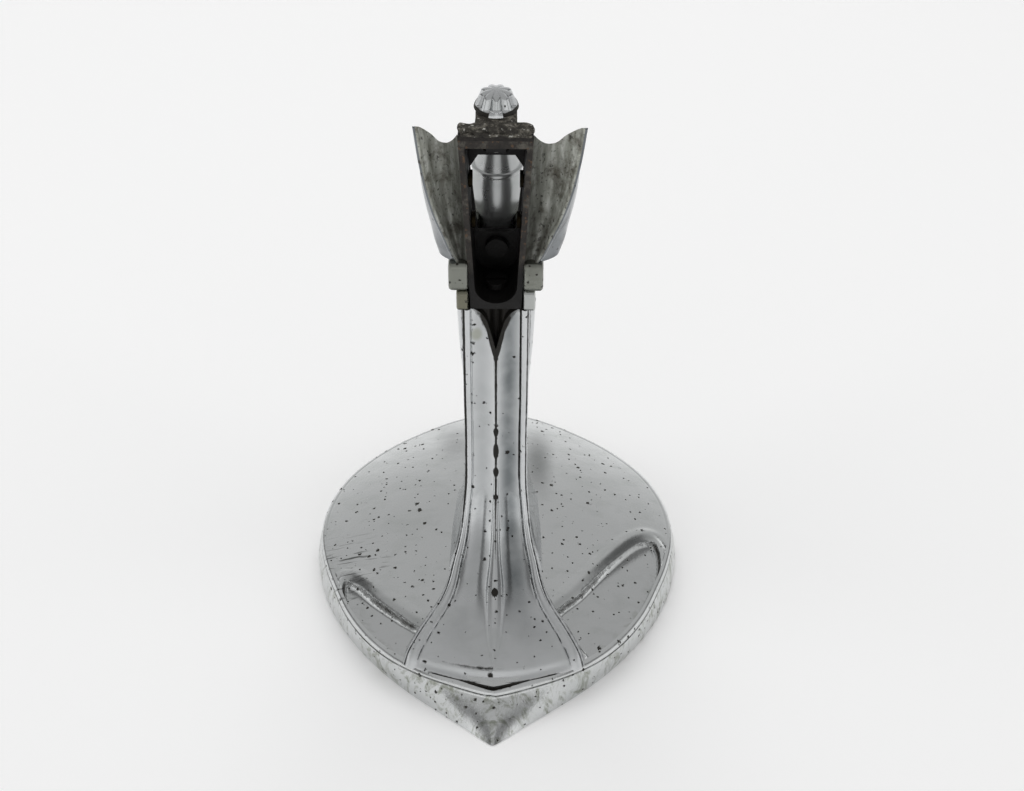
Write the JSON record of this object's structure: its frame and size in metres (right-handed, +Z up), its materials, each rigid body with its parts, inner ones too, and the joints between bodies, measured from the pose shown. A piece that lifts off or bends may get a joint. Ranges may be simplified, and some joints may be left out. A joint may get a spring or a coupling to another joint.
{
  "type": "hood ornament",
  "caption": "Chromed hood ornament: teardrop base with a pointed tail, fluted stem, stepped collars, open-backed winged head and a fluted cap nut.",
  "frame": {"origin": "centre of the base's footprint, on the plane that its rim stands on", "axes": "+Z up along the stem, -Y towards the pointed tail, +Y towards the round nose, +X to the right seen from the tail"},
  "size_m": [0.08, 0.098, 0.1237],
  "materials": {
    "base_chrome": "bright plate on zinc, pitted and scuffed",
    "stem_chrome": "bright plate on zinc, pitted along the rear ridge",
    "polished_chrome": "bright plate",
    "wing_chrome": "bright plate outside, bare grey zinc inside",
    "worn_chrome": "plate worn through to a brownish undercoat",
    "cap_chrome": "dulled plate",
    "bare_zinc": "as cast and oxidised, dark",
    "fastener_steel": "plain turned steel",
    "rivet_brass": "dull",
    "gasket_rubber": "perished rubber",
    "corroded_iron": "rough and corroded"
  },
  "bodies": {
    "ornament": {"base_casting": "base_chrome", "stem_casting": "stem_chrome", "threaded_insert_front": "fastener_steel", "threaded_insert_rear": "fastener_steel", "stem_screw_front": "fastener_steel", "stem_screw_rear": "fastener_steel", "stem_screw_washer_front": "fastener_steel", "stem_screw_washer_rear": "fastener_steel", "channel_frame": "bare_zinc", "channel_screw": "fastener_steel", "front_strut": "polished_chrome", "strut_screw": "fastener_steel", "lower_collar": "worn_chrome", "upper_collar": "polished_chrome", "right_wing": "wing_chrome", "left_wing": "wing_chrome", "wing_rivet_left_low": "rivet_brass", "wing_rivet_left_high": "rivet_brass", "wing_rivet_right_low": "rivet_brass", "wing_rivet_right_high": "rivet_brass", "top_gasket": "gasket_rubber", "top_plate": "corroded_iron", "cap_stud": "fastener_steel", "stud_washer": "fastener_steel", "stud_nut": "fastener_steel"},
    "cap_nut": {"fluted_cap_nut": "cap_chrome"}
  },
  "joints": [
    {"name": "cap_nut_turn", "type": "hinge", "parent": "ornament", "child": "cap_nut", "pos_m": [0, 0.0042, 0.12], "axis": [0, 0, 1], "range_deg": [0, 1750]}
  ]
}
